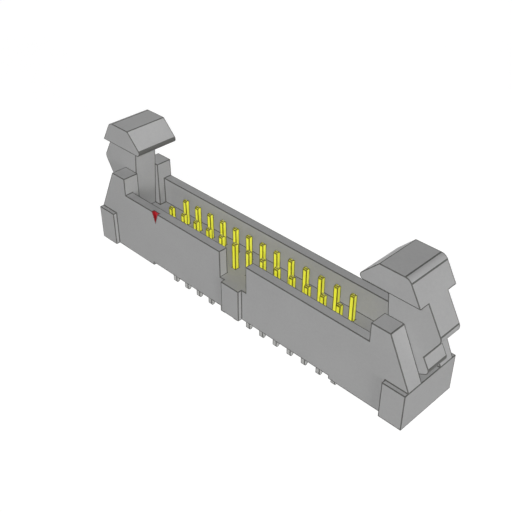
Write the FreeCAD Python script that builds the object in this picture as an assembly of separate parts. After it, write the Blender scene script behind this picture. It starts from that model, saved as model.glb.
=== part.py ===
# Straight two-row box header with a long locking and ejecting lever at each end, in millimetres.
# +X runs along the pin rows, +Y points away from the polarising slot, +Z points up from the board.
# The origin is the centre of the pin grid, on the plane where the feet stand on the circuit board.
import FreeCAD, Part
import math
import os
from FreeCAD import Vector

# Pins: square wire pressed through the floor of the housing
pitch = 2.54
row_spacing = 2.54
columns = 13
pin_side = 0.64
pin_height = 3.87            # above the socket floor
pin_tail = 3.72              # below the board plane
pin_point_length = 0.19
pin_point_width = 0.30       # across the rows: the wire is coined flat on two sides at each end

# Housing: floor, side walls, and a pair of towers at each end that hold a lever
floor_height = 5.23          # socket floor and end ledges, above the board plane
wall_height = 4.04           # side walls, above the floor
tower_rise = 2.63            # towers, above the side walls
body_width = 8.42            # over the side walls
wall_thickness = 1.31
end_room = 6.71              # from the last pin to the inner faces of the towers
tower_top_length = 2.67
tower_foot_length = 5.88     # from the inner faces of the towers to the end of the housing
lever_slot_width = 3.60
proud = 0.62                 # end pads and key block, beyond the side walls
standoff = 0.47              # gap that the feet leave under the middle of the housing
foot_length = 11.28

# Polarising slot in the front wall, and the key block below it
polarising_slot_width = 4.80
key_width = 3.22

# Pin 1 mark: a painted triangular notch in the top of the front wall
mark_width = 1.12
mark_height = 1.50
mark_depth = 0.36
mark_offset = 0.18           # outwards from the first column
paint_thickness = 0.06

# Lever: a stem that swings between the towers, with a wide hooked head
lever_side_gap = 0.05
head_width = 6.45
hook_rise = 4.13             # underside of the head, above the towers
head_height = 3.05
head_reach = 5.23            # outer end of the head's underside, from the towers' inner faces
head_radius = 1.00
hook_overhang = 2.81         # tip of the hook, inwards of the towers' inner faces
hook_slope = 45.0
hook_radius = 0.50
back_slope = 30.0            # the lever's outer faces lean this far from upright
stem_setback = 0.97          # inner face of the stem, outwards of the towers' inner faces
stem_lean = 5.20
thumb_drop = 3.89            # crest of the thumb rest, below the head's underside
thumb_radius = 0.90
waist_height = 3.63          # above the floor
heel_radius = 0.65

# Pivot: trunnions on the stem in blind sockets in the towers
pivot_inset = 3.15           # outwards of the towers' inner faces
pivot_rise = 2.17            # above the floor
trunnion_radius = 0.80
trunnion_length = 1.10
trunnion_bevel = 0.20
trunnion_clearance = 0.05
trunnion_end_gap = 0.10
foot_gap = 0.05              # between the lever's foot and the floor
open_angle = 30.0            # the lever's underside then lies along the ledge

# Ejector toe: a narrow tongue at the foot of the lever, in a groove in the floor
toe_width = 1.70
toe_reach = 2.60             # inwards of the towers' inner faces
toe_thickness = 1.10
toe_sink = 0.06              # top of the toe, below the floor
toe_heel_inset = 0.90        # outer end of the toe, inwards of the pivot
toe_nose_radius = 0.45
toe_edge_radius = 0.20
groove_side_gap = 0.10
groove_end_gap = 0.15
groove_depth_gap = 0.10

# Cutting blocks run this far past the faces that they cut through
overshoot = 1.00

# Places that follow from the sizes
last_pin_x = (columns - 1) / 2 * pitch
tower_in = last_pin_x + end_room
tower_top_out = tower_in + tower_top_length
housing_end = tower_in + tower_foot_length
foot_in = housing_end - foot_length
wall_out = body_width / 2
wall_in = wall_out - wall_thickness
pad_out = wall_out + proud
slot_side = lever_slot_width / 2
wall_top = floor_height + wall_height
tower_top = wall_top + tower_rise
head_bottom = tower_top + hook_rise
head_top = head_bottom + head_height
pivot_x = tower_in + pivot_inset
pivot_z = floor_height + pivot_rise
stem_side = slot_side - lever_side_gap
sole_radius = pivot_rise - foot_gap
toe_top = floor_height - toe_sink
toe_bottom = toe_top - toe_thickness
toe_tip = tower_in - toe_reach
toe_heel = pivot_x - toe_heel_inset


def block(x0, x1, y0, y1, z0, z1):
    return Part.makeBox(x1 - x0, y1 - y0, z1 - z0, Vector(x0, y0, z0))


def rounded_wire(corners):
    """Closed XZ outline through (x, z, radius) corners, with an arc at each corner that has a radius."""
    edges = []
    ends = []
    for i, (x, z, radius) in enumerate(corners):
        here = Vector(x, 0, z)
        before = Vector(corners[i - 1][0], 0, corners[i - 1][1]) - here
        after = Vector(corners[(i + 1) % len(corners)][0], 0, corners[(i + 1) % len(corners)][1]) - here
        if radius == 0:
            ends.append((here, None, here))
            continue
        before.normalize()
        after.normalize()
        half = before.getAngle(after) / 2
        middle = before + after
        middle.normalize()
        centre = here + middle * (radius / math.sin(half))
        reach = radius / math.tan(half)
        ends.append((here + before * reach, centre - middle * radius, here + after * reach))
    for i, (start, on_arc, finish) in enumerate(ends):
        if on_arc is not None:
            edges.append(Part.Arc(start, on_arc, finish).toShape())
        following = ends[(i + 1) % len(ends)][0]
        edges.append(Part.LineSegment(finish, following).toShape())
    return Part.Wire(edges)


def prism(corners, half_width):
    """XZ outline swept along Y, to half_width on each side of the middle."""
    face = Part.Face(rounded_wire(corners))
    face.translate(Vector(0, -half_width, 0))
    return face.extrude(Vector(0, 2 * half_width, 0))


def turned(shape):
    """The same piece at the other end of the housing."""
    copy = shape.copy()
    copy.rotate(Vector(0, 0, 0), Vector(0, 0, 1), 180)
    return copy


def both_ends(shape):
    return [shape, turned(shape)]


def crossing(point_a, angle_a, point_b, angle_b):
    """Where two XZ lines meet, each given by a point and its angle above +X."""
    ax, az = math.cos(math.radians(angle_a)), math.sin(math.radians(angle_a))
    bx, bz = math.cos(math.radians(angle_b)), math.sin(math.radians(angle_b))
    dx, dz = point_b[0] - point_a[0], point_b[1] - point_a[1]
    along = (dx * bz - dz * bx) / (ax * bz - az * bx)
    return point_a[0] + along * ax, point_a[1] + along * az


def pin_places():
    """Pin number and place: odd numbers in the front row, even numbers in the back row."""
    places = []
    for column in range(columns):
        x = column * pitch - last_pin_x
        places.append((2 * column + 1, x, -row_spacing / 2))
        places.append((2 * column + 2, x, row_spacing / 2))
    return places


def pin(x, y):
    """Square wire whose ends taper across the rows to a flat edge."""
    half = pin_side / 2
    point = pin_point_width / 2
    top = floor_height + pin_height
    front = [(-point, -pin_tail), (-half, -pin_tail + pin_point_length),
             (-half, top - pin_point_length), (-point, top)]
    back = [(-across, z) for across, z in reversed(front)]
    corners = [Vector(x - half, y + across, z) for across, z in front + back]
    section = Part.Face(Part.makePolygon(corners + corners[:1]))
    return section.extrude(Vector(pin_side, 0, 0))


def side_outline():
    """The housing from the front: feet, raised middle, side wall and the towers' sloping backs."""
    right = [(foot_in, standoff, 0), (foot_in, 0, 0), (housing_end, 0, 0),
             (housing_end, floor_height, 0), (tower_top_out, tower_top, 0),
             (tower_in, tower_top, 0), (tower_in, wall_top, 0)]
    left = [(-x, z, radius) for x, z, radius in reversed(right)]
    return right + left


def mark_notch(margin):
    """Triangular notch in the top of the front wall, grown by margin on its walls."""
    centre = -last_pin_x - mark_offset
    slant = math.hypot(mark_height, mark_width / 2)
    tip_growth = margin * slant / (mark_width / 2)
    half_growth = tip_growth * (mark_width / 2) / mark_height
    corners = [Vector(centre - mark_width / 2 - half_growth, 0, wall_top),
               Vector(centre, 0, wall_top - mark_height - tip_growth),
               Vector(centre + mark_width / 2 + half_growth, 0, wall_top)]
    face = Part.Face(Part.makePolygon(corners + corners[:1]))
    face.translate(Vector(0, -wall_out, 0))
    return face.extrude(Vector(0, mark_depth + margin, 0))


def toe_swing():
    """How far in the toe's lower corner reaches before it has risen out of the floor."""
    corner_radius = math.hypot(pivot_x - toe_tip, pivot_z - toe_bottom)
    return pivot_x - math.sqrt(corner_radius ** 2 - pivot_rise ** 2)


def trunnion_pair(radius, side, length, bevel):
    """Round pegs that stand out from both sides of a stem whose half width is side."""
    pegs = []
    for direction in (-1, 1):
        along = Vector(0, direction, 0)
        root = Vector(pivot_x, direction * side, pivot_z)
        peg = Part.makeCylinder(radius, length - bevel, root, along)
        if bevel > 0:
            shoulder = root + along * (length - bevel)
            peg = peg.fuse(Part.makeCone(radius, radius - bevel, bevel, shoulder, along))
        pegs.append(peg)
    return pegs


def housing():
    body = prism(side_outline(), wall_out)
    above = tower_top + overshoot
    cuts = [block(-tower_in, tower_in, -wall_in, wall_in, floor_height, above)]
    additions = []

    # Lever slots, open through the ends of the housing
    slot = block(tower_in - overshoot, housing_end + overshoot, -slot_side, slot_side,
                 floor_height, above)
    cuts += both_ends(slot)

    # End pads on both sides, in line with the outer edge of the towers' tops
    pad = block(tower_top_out, housing_end, -pad_out, pad_out, 0, floor_height)
    additions += both_ends(pad)

    # Polarising slot and key block
    slot_half = polarising_slot_width / 2
    cuts.append(block(-slot_half, slot_half, -wall_out - overshoot, -wall_in + overshoot,
                      floor_height, above))
    additions.append(block(-key_width / 2, key_width / 2, -pad_out, -wall_in, standoff, floor_height))

    # Sockets for the levers' trunnions
    for peg in trunnion_pair(trunnion_radius + trunnion_clearance, stem_side,
                             trunnion_length + trunnion_end_gap, 0):
        cuts += both_ends(peg)

    # Grooves for the ejector toes
    groove = block(toe_swing() - groove_end_gap, toe_heel + groove_end_gap,
                   -toe_width / 2 - groove_side_gap, toe_width / 2 + groove_side_gap,
                   toe_bottom - groove_depth_gap, floor_height + overshoot)
    cuts += both_ends(groove)

    # Holes that the pins are pressed through
    half = pin_side / 2
    for _, x, y in pin_places():
        cuts.append(block(x - half, x + half, y - half, y + half, 0, floor_height))

    cuts.append(mark_notch(paint_thickness))
    return body.fuse(additions).cut(cuts).removeSplitter()


def pin_one_mark():
    """The coat of paint on the walls of the notch."""
    return mark_notch(paint_thickness).cut(mark_notch(0))


def stem_outline():
    inner_floor = tower_in + stem_setback
    lean = math.tan(math.radians(stem_lean))
    back_run = math.tan(math.radians(back_slope))
    head_out = tower_in + head_reach
    thumb = (head_out + thumb_drop * back_run, head_bottom - thumb_drop)
    waist_z = floor_height + waist_height
    waist = (thumb[0] - (thumb[1] - waist_z) * back_run, waist_z)
    sole_z = floor_height + foot_gap
    opening = math.radians(open_angle)
    sole_end = (pivot_x + sole_radius * math.sin(opening), pivot_z - sole_radius * math.cos(opening))
    ball = crossing((pivot_x, sole_z), 0, sole_end, open_angle)
    heel = crossing(waist, back_slope - 90, sole_end, open_angle)
    return [(inner_floor - (head_bottom - floor_height) * lean, head_bottom, 0),
            (inner_floor - foot_gap * lean, sole_z, 0),
            (ball[0], ball[1], sole_radius),
            (heel[0], heel[1], heel_radius),
            (waist[0], waist[1], 0),
            (thumb[0], thumb[1], thumb_radius),
            (head_out, head_bottom, 0)]


def head_outline():
    back_run = head_height * math.tan(math.radians(back_slope))
    hook_run = head_height / math.tan(math.radians(hook_slope))
    centre = tower_in - hook_overhang + hook_radius
    tip = centre - hook_radius / math.tan(math.radians(hook_slope / 2))
    head_out = tower_in + head_reach
    return [(tip, head_bottom, hook_radius),
            (head_out, head_bottom, 0),
            (head_out - back_run, head_top, head_radius),
            (tip + hook_run, head_top, 0)]


def toe_outline():
    neck_in = tower_in + stem_setback
    inside_stem = floor_height + pivot_rise / 2
    neck_mid = (neck_in + toe_heel) / 2
    return [(toe_tip, toe_bottom, toe_nose_radius),
            (toe_heel, toe_bottom, toe_edge_radius),
            (toe_heel, inside_stem, 0),
            (neck_mid, inside_stem, 0),
            (neck_mid, toe_top, 0),
            (toe_tip, toe_top, toe_edge_radius)]


def latch():
    stem = prism(stem_outline(), stem_side)
    head = prism(head_outline(), head_width / 2)
    toe = prism(toe_outline(), toe_width / 2)
    pegs = trunnion_pair(trunnion_radius, stem_side, trunnion_length, trunnion_bevel)
    return stem.fuse([head, toe] + pegs).removeSplitter()


def save(name, shape):
    shape.exportStep("parts/" + name + ".step")


os.makedirs("parts", exist_ok=True)
right_latch = latch()
save("housing", housing())
save("pin_one_mark", pin_one_mark())
save("latch_right", right_latch)
save("latch_left", turned(right_latch))
for number, pin_x, pin_y in pin_places():
    save("pin_%02d" % number, pin(pin_x, pin_y))
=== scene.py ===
"""Looks of a straight two-row box header with a locking and ejecting lever at each end.

Every piece is a copy of its CAD node with a darker band of painted shade along each edge. Lengths
are in metres.
"""
import math

import bmesh
import bpy
from mathutils import Matrix, Vector

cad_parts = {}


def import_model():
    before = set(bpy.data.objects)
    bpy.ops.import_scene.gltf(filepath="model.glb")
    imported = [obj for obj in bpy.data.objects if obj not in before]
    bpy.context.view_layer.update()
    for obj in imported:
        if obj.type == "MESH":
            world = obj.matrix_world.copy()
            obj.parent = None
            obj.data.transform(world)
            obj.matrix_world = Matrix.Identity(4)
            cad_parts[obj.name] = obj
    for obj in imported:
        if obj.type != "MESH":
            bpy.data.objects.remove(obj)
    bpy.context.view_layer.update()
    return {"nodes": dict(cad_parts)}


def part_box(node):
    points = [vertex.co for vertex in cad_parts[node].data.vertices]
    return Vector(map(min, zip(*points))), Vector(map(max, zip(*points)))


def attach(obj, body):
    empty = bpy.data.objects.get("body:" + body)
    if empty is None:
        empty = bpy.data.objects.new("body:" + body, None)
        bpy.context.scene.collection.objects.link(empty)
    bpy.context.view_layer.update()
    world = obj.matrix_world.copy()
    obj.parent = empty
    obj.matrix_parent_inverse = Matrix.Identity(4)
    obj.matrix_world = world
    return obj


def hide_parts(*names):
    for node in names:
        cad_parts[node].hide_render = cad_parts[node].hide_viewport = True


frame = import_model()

mark_low, mark_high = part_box("pin_one_mark")

# Heights above the board: the tips of the tails, and where the gold over their tin starts and is
# full, inside the floor of the housing
TAIL_TIP = -0.00372
GOLD_START = 0.0012
GOLD_FULL = 0.0024

# Widths of the bands of painted shade on both sides of an edge
HOUSING_BAND = 0.00011
LEVER_BAND = 0.00010
PIN_BAND = 0.00011

# Shares of those widths, along the painted notch and along the step under the lever's heel, which
# is 0.11 mm high, and how the edges of both are found
NOTCH_SHARE = 0.6
NOTCH_REACH = 0.0002
STEP_SHARE = 0.4
STEP_TOP = 0.0053
STEP_SIDE = 0.0009

# The bands are a bevel whose profile keeps the corner sharp, on the edge of the CAD solid
BAND_PROFILE = 1.0
BAND_SEGMENTS = 2
# The second of a piece's materials is the bands' painted shade
FACE, BAND = 0, 1                   # places of a piece's two materials

# Distances from the sides of the red mark where its rim of painted shade starts to fade and is
# gone
RIM_DARK = 0.00002
RIM_CLEAR = 0.00015

# How the faces and the rounded corners are read from the CAD mesh
MERGE = 1e-7
FLAT_ANGLE = math.radians(1.0)
SHARP_ANGLE = math.radians(31.0)
STRIP_WIDTH = 0.0006                # the facets of the rounded corners are narrower than this
# Painted shade: corners rounded tighter than this radius take the bands' dark colour all over
TIGHT_RADIUS = 0.0007               # corners rounded to less than this are as dark as the bands

# Level of the trunnions: the faces around them are cut there, so that none has a hole. The cut is
# kept on the sides of the levers and of their slots, which these values tell from other faces.
TRUNNION_LEVEL = 0.0074
SLOT_SIDE = 0.0020
SLOT_START = 0.0210
SIDEWAYS = 0.99                     # least share of the normal along Y

# Values from 0 to 1 between which most of a noise lies
NOISE_LOW = 0.3
NOISE_HIGH = 0.7

# Sizes of the features in the plastic, the plating and the paint
CLOUD_SIZE = 0.0060
FLECK_SIZE = 0.00035
GRAIN_SIZE = 0.00011
STREAK_SIZE = 0.00006
STREAK_SQUEEZE = (1.0, 1.0, 0.04)   # draws the streaks out along the pin
PLATING_CLOUD_SIZE = 0.0012
PAINT_CLOUD_SIZE = 0.0005

# Depths of the grain, of the streaks and of the waves in the paint
HOUSING_GRAIN = 0.000006
LEVER_GRAIN = 0.000005
EDGE_GRAIN = 0.000002
STREAK_DEPTH = 0.000002
PAINT_DEPTH = 0.000012

# Roughness from its lowest to its highest, and by how much small features change it
HOUSING_ROUGHNESS = (0.50, 0.58)
LEVER_ROUGHNESS = (0.48, 0.56)
EDGE_ROUGHNESS = (0.36, 0.44)
PLATING_ROUGHNESS = (0.26, 0.40)
PAINT_ROUGHNESS = (0.32, 0.42)
GRAIN_ROUGHNESS = 0.03
CLOUD_ROUGHNESS = 0.05

CLOUD_SHARE = 0.6                   # of the plastic's change of tone; the flecks make the rest
FLECK_RELIEF = 0.5                  # height of the flecks against the grain's
IOR = 1.5
PLASTIC_GLOSS = 0.12

# Sockets of the colour mixing node, whose names repeat
MIX_FACTOR, MIX_A, MIX_B, MIX_RESULT = 0, 6, 7, 2

# The place and direction of the camera, which follow from the photo, and its lens in millimetres
CAMERA_PLACE = Vector((0.061488, -0.061190, 0.068767))
CAMERA_FORWARD = Vector((-0.57958, 0.57689, -0.57558)).normalized()
CAMERA_LENS = 57.383
CAMERA_SENSOR = 36.0

# The floor's half side and greys, and its glow to the camera, which is least round the object and
# rises to full white between two distances
FLOOR_REACH = 1.5
FLOOR_CELLS = 8
FLOOR_GREY = (0.2, 0.2, 0.2, 1.0)
FLOOR_GREY_SEEN = (0.22, 0.22, 0.22, 1.0)
GLOW_LEAST = 0.86
GLOW_NEAR = 0.12
GLOW_FAR = 0.60

WHITE = (1.0, 1.0, 1.0, 1.0)
AMBIENT = 0.04

# What the lamps look at
OBJECT_MIDDLE = Vector((0.0, 0.0, 0.006))
LEFT_HOOK = Vector((-0.0262, 0.0, 0.0165))
SPOT_RADIUS = 0.004


def rgb(red, green, blue):
    """A display colour, 0 to 255, as linear light."""
    def linear(value):
        value /= 255.0
        return value / 12.92 if value <= 0.04045 else ((value + 0.055) / 1.055) ** 2.4
    return linear(red), linear(green), linear(blue), 1.0


# Shades of each colour, between which the clouds change it
PLASTIC = (rgb(150, 150, 150), rgb(157, 157, 157))
# Painted shade: the darker grey of the bands along the plastic's edges and tight corners
PLASTIC_PAINTED_SHADE = (rgb(82, 82, 80), rgb(90, 90, 88))
GOLD = (rgb(246, 244, 60), rgb(250, 249, 80))
# Painted shade: the darker gold of the bands along the pins' edges
GOLD_PAINTED_SHADE = (rgb(98, 94, 8), rgb(108, 104, 14))
TIN = (rgb(158, 158, 156), rgb(170, 170, 168))
# Painted shade: the darker tin of the bands along the tails' edges
TIN_PAINTED_SHADE = (rgb(66, 66, 64), rgb(74, 74, 72))
RED = (rgb(168, 18, 30), rgb(190, 34, 46))
# Painted shade: the darker red of the rim along the mark's sides
RED_PAINTED_SHADE = (rgb(84, 10, 14), rgb(96, 14, 18))


# Materials

class Nodes:
    """Short names for adding and joining the nodes of a material or of the world."""

    def __init__(self, owner, output="ShaderNodeOutputMaterial"):
        owner.use_nodes = True
        self.owner = owner
        self.tree = owner.node_tree
        self.tree.nodes.clear()
        self.output = self.add(output)

    def add(self, kind, inputs=None, **settings):
        node = self.tree.nodes.new(kind)
        for key, value in settings.items():
            setattr(node, key, value)
        for key, value in (inputs or {}).items():
            self.set(node, key, value)
        return node

    def set(self, node, key, value):
        socket = node.inputs[key]
        if isinstance(value, bpy.types.NodeSocket):
            self.tree.links.new(value, socket)
        else:
            socket.default_value = value

    def place(self):
        return self.add("ShaderNodeTexCoord").outputs["Object"]

    def scaled(self, vector, scale):
        mapping = self.add("ShaderNodeMapping", {"Vector": vector, "Scale": scale})
        return mapping.outputs["Vector"]

    def noise(self, vector, size, detail=2.0, roughness=0.5):
        """Noise whose features are about size metres across, from 0 to 1."""
        node = self.add("ShaderNodeTexNoise", {"Vector": vector, "Scale": 1.0 / size,
                                               "Detail": detail, "Roughness": roughness})
        return node.outputs["Fac"]

    def spread(self, value, low=0.0, high=1.0, from_low=NOISE_LOW, from_high=NOISE_HIGH):
        node = self.add("ShaderNodeMapRange", {"Value": value,
                                               "From Min": from_low, "From Max": from_high,
                                               "To Min": low, "To Max": high})
        return node.outputs["Result"]

    def maths(self, operation, a, b=0.0):
        return self.add("ShaderNodeMath", {0: a, 1: b}, operation=operation).outputs[0]

    def blend(self, factor, a, b):
        node = self.add("ShaderNodeMix", data_type="RGBA", blend_type="MIX")
        self.set(node, MIX_FACTOR, factor)
        self.set(node, MIX_A, a)
        self.set(node, MIX_B, b)
        return node.outputs[MIX_RESULT]

    def bump(self, height, distance):
        node = self.add("ShaderNodeBump", {"Height": height, "Distance": distance,
                                           "Strength": 1.0})
        return node.outputs["Normal"]

    def seen(self):
        """1 where the camera looks, directly or in a reflection, and 0 for light on things."""
        path = self.add("ShaderNodeLightPath").outputs
        direct = self.maths("MAXIMUM", path["Is Camera Ray"], path["Is Glossy Ray"])
        return self.maths("MAXIMUM", direct, path["Is Transmission Ray"])

    def mix_shader(self, factor, a, b):
        return self.add("ShaderNodeMixShader", {0: factor, 1: a.outputs[0], 2: b.outputs[0]})

    def show(self, shader):
        """Ends the material or the world with this shader, and gives it back."""
        self.set(self.output, "Surface", shader.outputs[0])
        return self.owner

    def principled(self, **inputs):
        """Ends the material with a shader. A socket's name has _ for each space."""
        shader = self.add("ShaderNodeBsdfPrincipled")
        for key, value in inputs.items():
            self.set(shader, key.replace("_", " "), value)
        return self.show(shader)


def material_nodes(name):
    return Nodes(bpy.data.materials.new(name))


def moulded_plastic(name, shades, roughness, grain_depth):
    """Glass-filled plastic from a finely textured mould: cloudy tone, flecks and a matt grain."""
    n = material_nodes(name)
    place = n.place()
    cloud = n.noise(place, CLOUD_SIZE, detail=3.0)
    fleck = n.noise(place, FLECK_SIZE)
    grain = n.noise(place, GRAIN_SIZE, detail=3.0, roughness=0.6)
    tone = n.maths("ADD", n.spread(cloud, 0.0, CLOUD_SHARE),
                   n.spread(fleck, 0.0, 1.0 - CLOUD_SHARE))
    height = n.maths("ADD", grain, n.spread(fleck, 0.0, FLECK_RELIEF))
    return n.principled(
        Base_Color=n.blend(tone, *shades),
        Roughness=n.maths("ADD", n.spread(cloud, *roughness),
                          n.spread(grain, -GRAIN_ROUGHNESS, GRAIN_ROUGHNESS)),
        Normal=n.bump(height, grain_depth), Metallic=0.0, IOR=IOR,
        Specular_IOR_Level=PLASTIC_GLOSS)


def plated_pin(name, gold, tin):
    """Square wire, drawn along its length: gold above the housing's floor, tin on the tails."""
    n = material_nodes(name)
    place = n.place()
    height = n.add("ShaderNodeSeparateXYZ", {0: place}).outputs["Z"]
    upper = n.spread(height, from_low=GOLD_START, from_high=GOLD_FULL)
    streak = n.noise(n.scaled(place, STREAK_SQUEEZE), STREAK_SIZE)
    cloud = n.noise(place, PLATING_CLOUD_SIZE)
    shade = n.spread(cloud)
    return n.principled(
        Base_Color=n.blend(upper, n.blend(shade, *tin), n.blend(shade, *gold)),
        Roughness=n.maths("ADD", n.spread(streak, *PLATING_ROUGHNESS),
                          n.spread(cloud, 0.0, CLOUD_ROUGHNESS)),
        Normal=n.bump(streak, STREAK_DEPTH), Metallic=0.0, IOR=IOR)


def mark_paint(name):
    """Red enamel on a triangle that points down, with painted shade in a rim along its three
    sides.
    """
    n = material_nodes(name)
    place = n.place()
    split = n.add("ShaderNodeSeparateXYZ", {0: place}).outputs
    slope = 0.5 * (mark_high[0] - mark_low[0]) / (mark_high[2] - mark_low[2])
    across = n.maths("SUBTRACT", split["X"], 0.5 * (mark_low[0] + mark_high[0]))
    reach = n.maths("MULTIPLY", n.maths("SUBTRACT", split["Z"], mark_low[2]), slope)
    to_side = n.maths("SUBTRACT", reach, n.maths("ABSOLUTE", across))
    to_top = n.maths("SUBTRACT", mark_high[2], split["Z"])
    # 1 inside the mark, 0 in the rim of painted shade along its sides
    inner = n.spread(n.maths("MINIMUM", to_side, to_top), from_low=RIM_DARK, from_high=RIM_CLEAR)
    cloud = n.noise(place, PAINT_CLOUD_SIZE)
    shade = n.spread(cloud)
    return n.principled(
        Base_Color=n.blend(inner, n.blend(shade, *RED_PAINTED_SHADE), n.blend(shade, *RED)),
        Roughness=n.spread(cloud, *PAINT_ROUGHNESS),
        Normal=n.bump(cloud, PAINT_DEPTH), Metallic=0.0, IOR=IOR)


# Pieces

def add_object(name, data):
    item = bpy.data.objects.new(name, data)
    bpy.context.scene.collection.objects.link(item)
    return item


def in_slot(edge):
    """Whether an edge lies on the side faces between a lever and its slot."""
    sideways = all(abs(face.normal.y) > SIDEWAYS for face in edge.link_faces)
    return sideways and all(abs(vertex.co.y) < SLOT_SIDE and abs(vertex.co.x) > SLOT_START
                            for vertex in edge.verts)


def open_copy(node, name):
    """A copy of a CAD node's mesh, open for editing, with each flat face whole again."""
    mesh = frame["nodes"][node].data.copy()
    mesh.name = name
    mesh.materials.clear()
    work = bmesh.new()
    work.from_mesh(mesh)
    bmesh.ops.remove_doubles(work, verts=work.verts, dist=MERGE)
    cut = bmesh.ops.bisect_plane(work, geom=work.verts[:] + work.edges[:] + work.faces[:],
                                 dist=MERGE, plane_co=(0.0, 0.0, TRUNNION_LEVEL),
                                 plane_no=(0.0, 0.0, 1.0))["geom_cut"]
    for item in cut:
        if isinstance(item, bmesh.types.BMEdge) and in_slot(item):
            item.seam = True
    bmesh.ops.dissolve_limit(work, angle_limit=FLAT_ANGLE, verts=work.verts, edges=work.edges,
                             delimit={"SEAM"})
    return mesh, work


def is_strip(face):
    """Whether a face is one facet of a rounded corner."""
    longest = max(edge.calc_length() for edge in face.edges)
    is_soft = any(len(edge.link_faces) == 2
                  and FLAT_ANGLE < edge.calc_face_angle(0.0) < SHARP_ANGLE for edge in face.edges)
    return is_soft and face.calc_area() / longest < STRIP_WIDTH


def is_tight(face, strips):
    """Whether a facet belongs to a tightly rounded corner, which gets painted shade all over."""
    for edge in face.edges:
        for other in edge.link_faces:
            if other is not face and other in strips:
                width = face.calc_area() / edge.calc_length()
                if width / (2.0 * math.sin(edge.calc_face_angle(1.0) / 2.0)) < TIGHT_RADIUS:
                    return True
    return False


def has_band(edge, strips, tight):
    """Whether an edge gets a band of painted shade: it is sharp, or bounds a rounded corner that
    is not painted dark all over.
    """
    angle = edge.calc_face_angle(0.0) if len(edge.link_faces) == 2 else 0.0
    facets = [face for face in edge.link_faces if face in strips]
    bounds_corner = len(facets) < 2 and not any(face in tight for face in facets)
    return angle > SHARP_ANGLE or (angle > FLAT_ANGLE and bounds_corner)


def housing_weight(edge):
    """Full bands, but narrower ones along the painted notch."""
    at_notch = all(mark_low[i] - NOTCH_REACH < vertex.co[i] < mark_high[i] + NOTCH_REACH
                   for vertex in edge.verts for i in range(3))
    return NOTCH_SHARE if at_notch else 1.0


def lever_weight(edge):
    """Full bands, but narrower ones along the low step where the toe leaves the lever."""
    at_step = all(vertex.co.z < STEP_TOP and abs(vertex.co.y) < STEP_SIDE
                  for vertex in edge.verts)
    return STEP_SHARE if at_step else 1.0


def pin_weight(edge):
    """Full bands everywhere."""
    return 1.0


def banded_piece(node, name, width, body, materials, weigh):
    """The node again, with its face material, and painted shade as the band material along the
    edges.
    """
    mesh, work = open_copy(node, name)
    weight = work.edges.layers.float.new("bevel_weight_edge")
    strips = {face for face in work.faces if is_strip(face)}
    tight = {face for face in strips if is_tight(face, strips)}
    for edge in work.edges:
        if has_band(edge, strips, tight):
            edge[weight] = weigh(edge)
    for face in work.faces:
        face.smooth = True
        # Tightly rounded corners take the bands' painted shade all over
        face.material_index = BAND if face in tight else FACE
    work.to_mesh(mesh)
    work.free()
    if "custom_normal" in mesh.attributes:
        mesh.attributes.remove(mesh.attributes["custom_normal"])
    for material in materials:
        mesh.materials.append(material)
    piece = add_object(name, mesh)
    bevel = piece.modifiers.new("edges", "BEVEL")
    bevel.limit_method = "WEIGHT"
    bevel.width = width
    bevel.segments = BAND_SEGMENTS
    bevel.profile = BAND_PROFILE
    bevel.use_clamp_overlap = False
    bevel.harden_normals = True
    bevel.material = BAND
    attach(piece, body)
    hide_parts(node)


# Each part's second material is the darker painted shade of its bands
housing_materials = [
    moulded_plastic("housing_plastic", PLASTIC, HOUSING_ROUGHNESS, HOUSING_GRAIN),
    moulded_plastic("housing_plastic_painted_shade", PLASTIC_PAINTED_SHADE, EDGE_ROUGHNESS, EDGE_GRAIN)]
lever_materials = [
    moulded_plastic("latch_plastic", PLASTIC, LEVER_ROUGHNESS, LEVER_GRAIN),
    moulded_plastic("latch_plastic_painted_shade", PLASTIC_PAINTED_SHADE, EDGE_ROUGHNESS, EDGE_GRAIN)]
# The pins' second material is the painted shade of their bands
pin_materials = [
    plated_pin("pin_plating", GOLD, TIN),
    plated_pin("pin_plating_painted_shade", GOLD_PAINTED_SHADE, TIN_PAINTED_SHADE)]
paint = mark_paint("mark_paint")

banded_piece("housing", "moulded_housing", HOUSING_BAND, "header",
             housing_materials, housing_weight)
for side in ("left", "right"):
    banded_piece("latch_" + side, "moulded_latch_" + side, LEVER_BAND, "latch_" + side,
                 lever_materials, lever_weight)
for node in sorted(frame["nodes"]):
    if node.startswith("pin_") and node != "pin_one_mark":
        banded_piece(node, "plated_" + node, PIN_BAND, "header", pin_materials,
                     pin_weight)

mark = frame["nodes"]["pin_one_mark"]
mark.data.materials.clear()
mark.data.materials.append(paint)


# Floor, light and camera

def floor_white(name):
    """A floor that looks white to the camera and in reflections, yet keeps the shadow."""
    n = material_nodes(name)
    distance = n.add("ShaderNodeVectorMath", {0: n.place()}, operation="LENGTH").outputs["Value"]
    glow = n.spread(distance, GLOW_LEAST, 1.0, GLOW_NEAR, GLOW_FAR)
    plain = n.add("ShaderNodeBsdfDiffuse", {"Color": FLOOR_GREY})
    shaded = n.add("ShaderNodeBsdfDiffuse", {"Color": FLOOR_GREY_SEEN})
    light = n.add("ShaderNodeEmission", {"Color": WHITE, "Strength": glow})
    both = n.add("ShaderNodeAddShader", {0: shaded.outputs[0], 1: light.outputs[0]})
    return n.show(n.mix_shader(n.seen(), plain, both))


def floor():
    work = bmesh.new()
    bmesh.ops.create_grid(work, x_segments=FLOOR_CELLS, y_segments=FLOOR_CELLS, size=FLOOR_REACH)
    mesh = bpy.data.meshes.new("floor")
    work.to_mesh(mesh)
    work.free()
    mesh.materials.append(floor_white("floor_white"))
    piece = add_object("floor", mesh)
    piece.location = (0.0, 0.0, TAIL_TIP)


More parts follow.
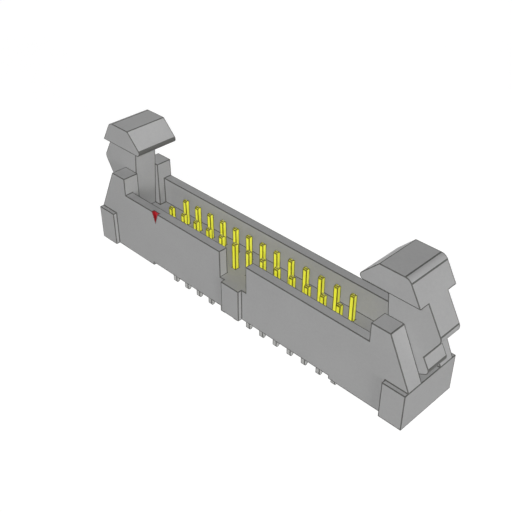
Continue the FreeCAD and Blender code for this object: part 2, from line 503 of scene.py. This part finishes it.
def world():
    """White where the camera looks, and dim as a light."""
    studio = bpy.data.worlds.new("studio")
    bpy.context.scene.world = studio
    n = Nodes(studio, "ShaderNodeOutputWorld")
    dim = n.add("ShaderNodeBackground", {"Color": WHITE, "Strength": AMBIENT})
    white = n.add("ShaderNodeBackground", {"Color": WHITE, "Strength": 1.0})
    n.show(n.mix_shader(n.seen(), dim, white))


def hang(lamp_data, aim, azimuth, elevation, distance):
    """Places a lamp that looks at a point. Its azimuth and elevation are in degrees."""
    azimuth, elevation = math.radians(azimuth), math.radians(elevation)
    outward = Vector((math.cos(elevation) * math.cos(azimuth),
                      math.cos(elevation) * math.sin(azimuth), math.sin(elevation)))
    lamp = add_object(lamp_data.name, lamp_data)
    lamp.location = outward * distance + aim
    lamp.rotation_euler = (-outward).to_track_quat("-Z", "Y").to_euler()
    lamp.visible_camera = False
    return lamp


def area_light(name, azimuth, elevation, distance, side, watts, shadow=True, gloss=True):
    """A square lamp that looks at the middle of the object."""
    data = bpy.data.lights.new(name, "AREA")
    data.shape = "SQUARE"
    data.size = side
    data.energy = watts
    data.use_shadow = shadow
    lamp = hang(data, OBJECT_MIDDLE, azimuth, elevation, distance)
    lamp.visible_glossy = gloss


def spot_light(name, aim, azimuth, elevation, distance, width, watts):
    """A narrow lamp that lights a disc of this width, fading towards its rim."""
    data = bpy.data.lights.new(name, "SPOT")
    data.energy = watts
    data.spot_size = 2.0 * math.atan(0.5 * width / distance)
    data.spot_blend = 1.0
    data.shadow_soft_size = SPOT_RADIUS
    hang(data, aim, azimuth, elevation, distance)


def camera():
    data = bpy.data.cameras.new("camera")
    data.sensor_width = CAMERA_SENSOR
    data.lens = CAMERA_LENS
    data.clip_start = 0.005
    data.clip_end = 20.0
    piece = add_object("camera", data)
    right = CAMERA_FORWARD.cross(Vector((0.0, 0.0, 1.0))).normalized()
    up = right.cross(CAMERA_FORWARD)
    turn = Matrix((right, up, -CAMERA_FORWARD)).transposed().to_4x4()
    piece.matrix_world = Matrix.Translation(CAMERA_PLACE) @ turn
    bpy.context.scene.camera = piece


floor()
world()
# The photo has no shadows, so the two lamps that light the front most cast none
area_light("key", azimuth=-58, elevation=30, distance=1.20, side=0.45, watts=1.5)
area_light("fill", azimuth=-58, elevation=30, distance=1.20, side=0.45, watts=7.9, shadow=False)
area_light("near", azimuth=-45, elevation=36, distance=0.43, side=0.06, watts=0.84, shadow=False)
area_light("side", azimuth=-18, elevation=5, distance=1.20, side=0.30, watts=5.2)
area_light("back_fill", azimuth=135, elevation=3, distance=0.60, side=0.14, watts=5.2,
           gloss=False)
spot_light("hook", LEFT_HOOK, azimuth=-8, elevation=36, distance=0.40, width=0.018, watts=0.95)
camera()
bpy.context.scene.view_settings.view_transform = "Standard"
